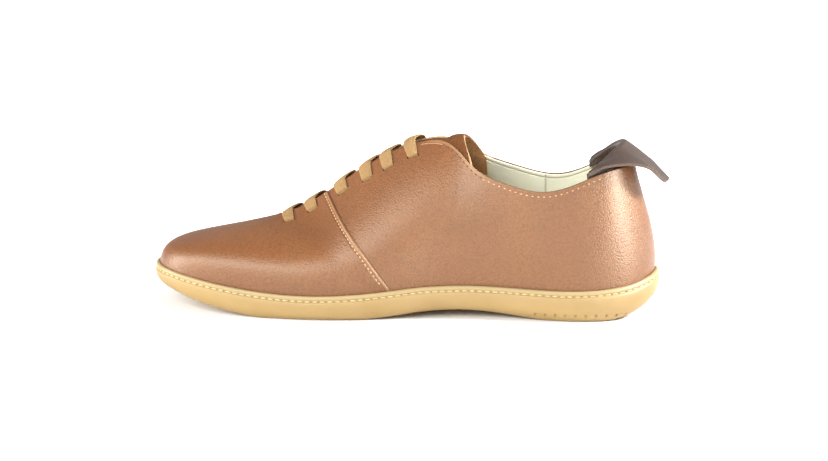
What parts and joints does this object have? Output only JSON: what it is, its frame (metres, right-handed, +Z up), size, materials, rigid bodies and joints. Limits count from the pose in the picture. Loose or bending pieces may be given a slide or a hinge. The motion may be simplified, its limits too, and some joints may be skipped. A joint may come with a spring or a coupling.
{
  "type": "lace-up shoe",
  "caption": "Low lace-up shoe for the right foot: hollow leather upper on a gum-rubber cup sole, with tongue, flat lace, footbed and a dark flap folded over the heel collar.",
  "frame": {"origin": "on the floor under the middle of the shoe's box", "axes": "+X along the shoe from toe to heel, +Y from the inner to the outer side, +Z up"},
  "size_m": [0.2754, 0.0944, 0.0928],
  "materials": {
    "upper_leather": "pebbled brown leather with a soft sheen",
    "gum_rubber": "satin honey-coloured gum rubber",
    "footbed": "matt cream leather",
    "tongue_leather": "matt brown leather with a raw cut edge",
    "flap_leather": "smooth dark taupe leather",
    "lace_weave": "flat tan weave"
  },
  "bodies": {
    "root": {"upper": "upper_leather", "outsole": "gum_rubber", "insole": "footbed", "tongue": "tongue_leather", "heel_flap": "flap_leather", "lace": "lace_weave"}
  },
  "joints": []
}
